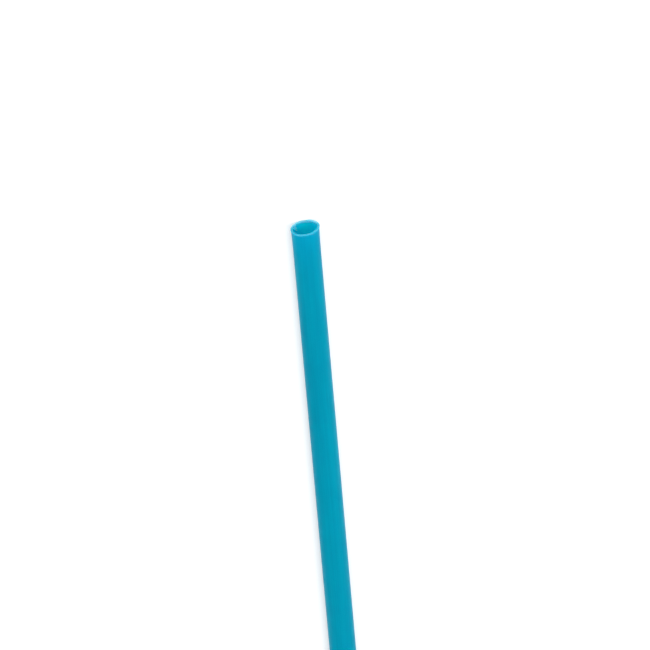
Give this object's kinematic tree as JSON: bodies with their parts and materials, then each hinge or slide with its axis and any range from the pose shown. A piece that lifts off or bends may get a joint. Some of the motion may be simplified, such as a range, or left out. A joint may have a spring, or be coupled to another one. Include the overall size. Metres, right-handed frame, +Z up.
{
  "type": "drinking straw",
  "caption": "Straight plastic drinking straw: a thin-walled round tube, open right through, with both ends cut slightly out of square.",
  "frame": {"origin": "on the table under the middle of the straw, which lies on its slight flat", "axes": "+X along the straw towards the drinking end, +Z up from the table that it lies on"},
  "size_m": [0.21, 0.006, 0.0059],
  "materials": {
    "straw_plastic": "satin"
  },
  "bodies": {
    "root": {"straw": "straw_plastic"}
  },
  "joints": []
}
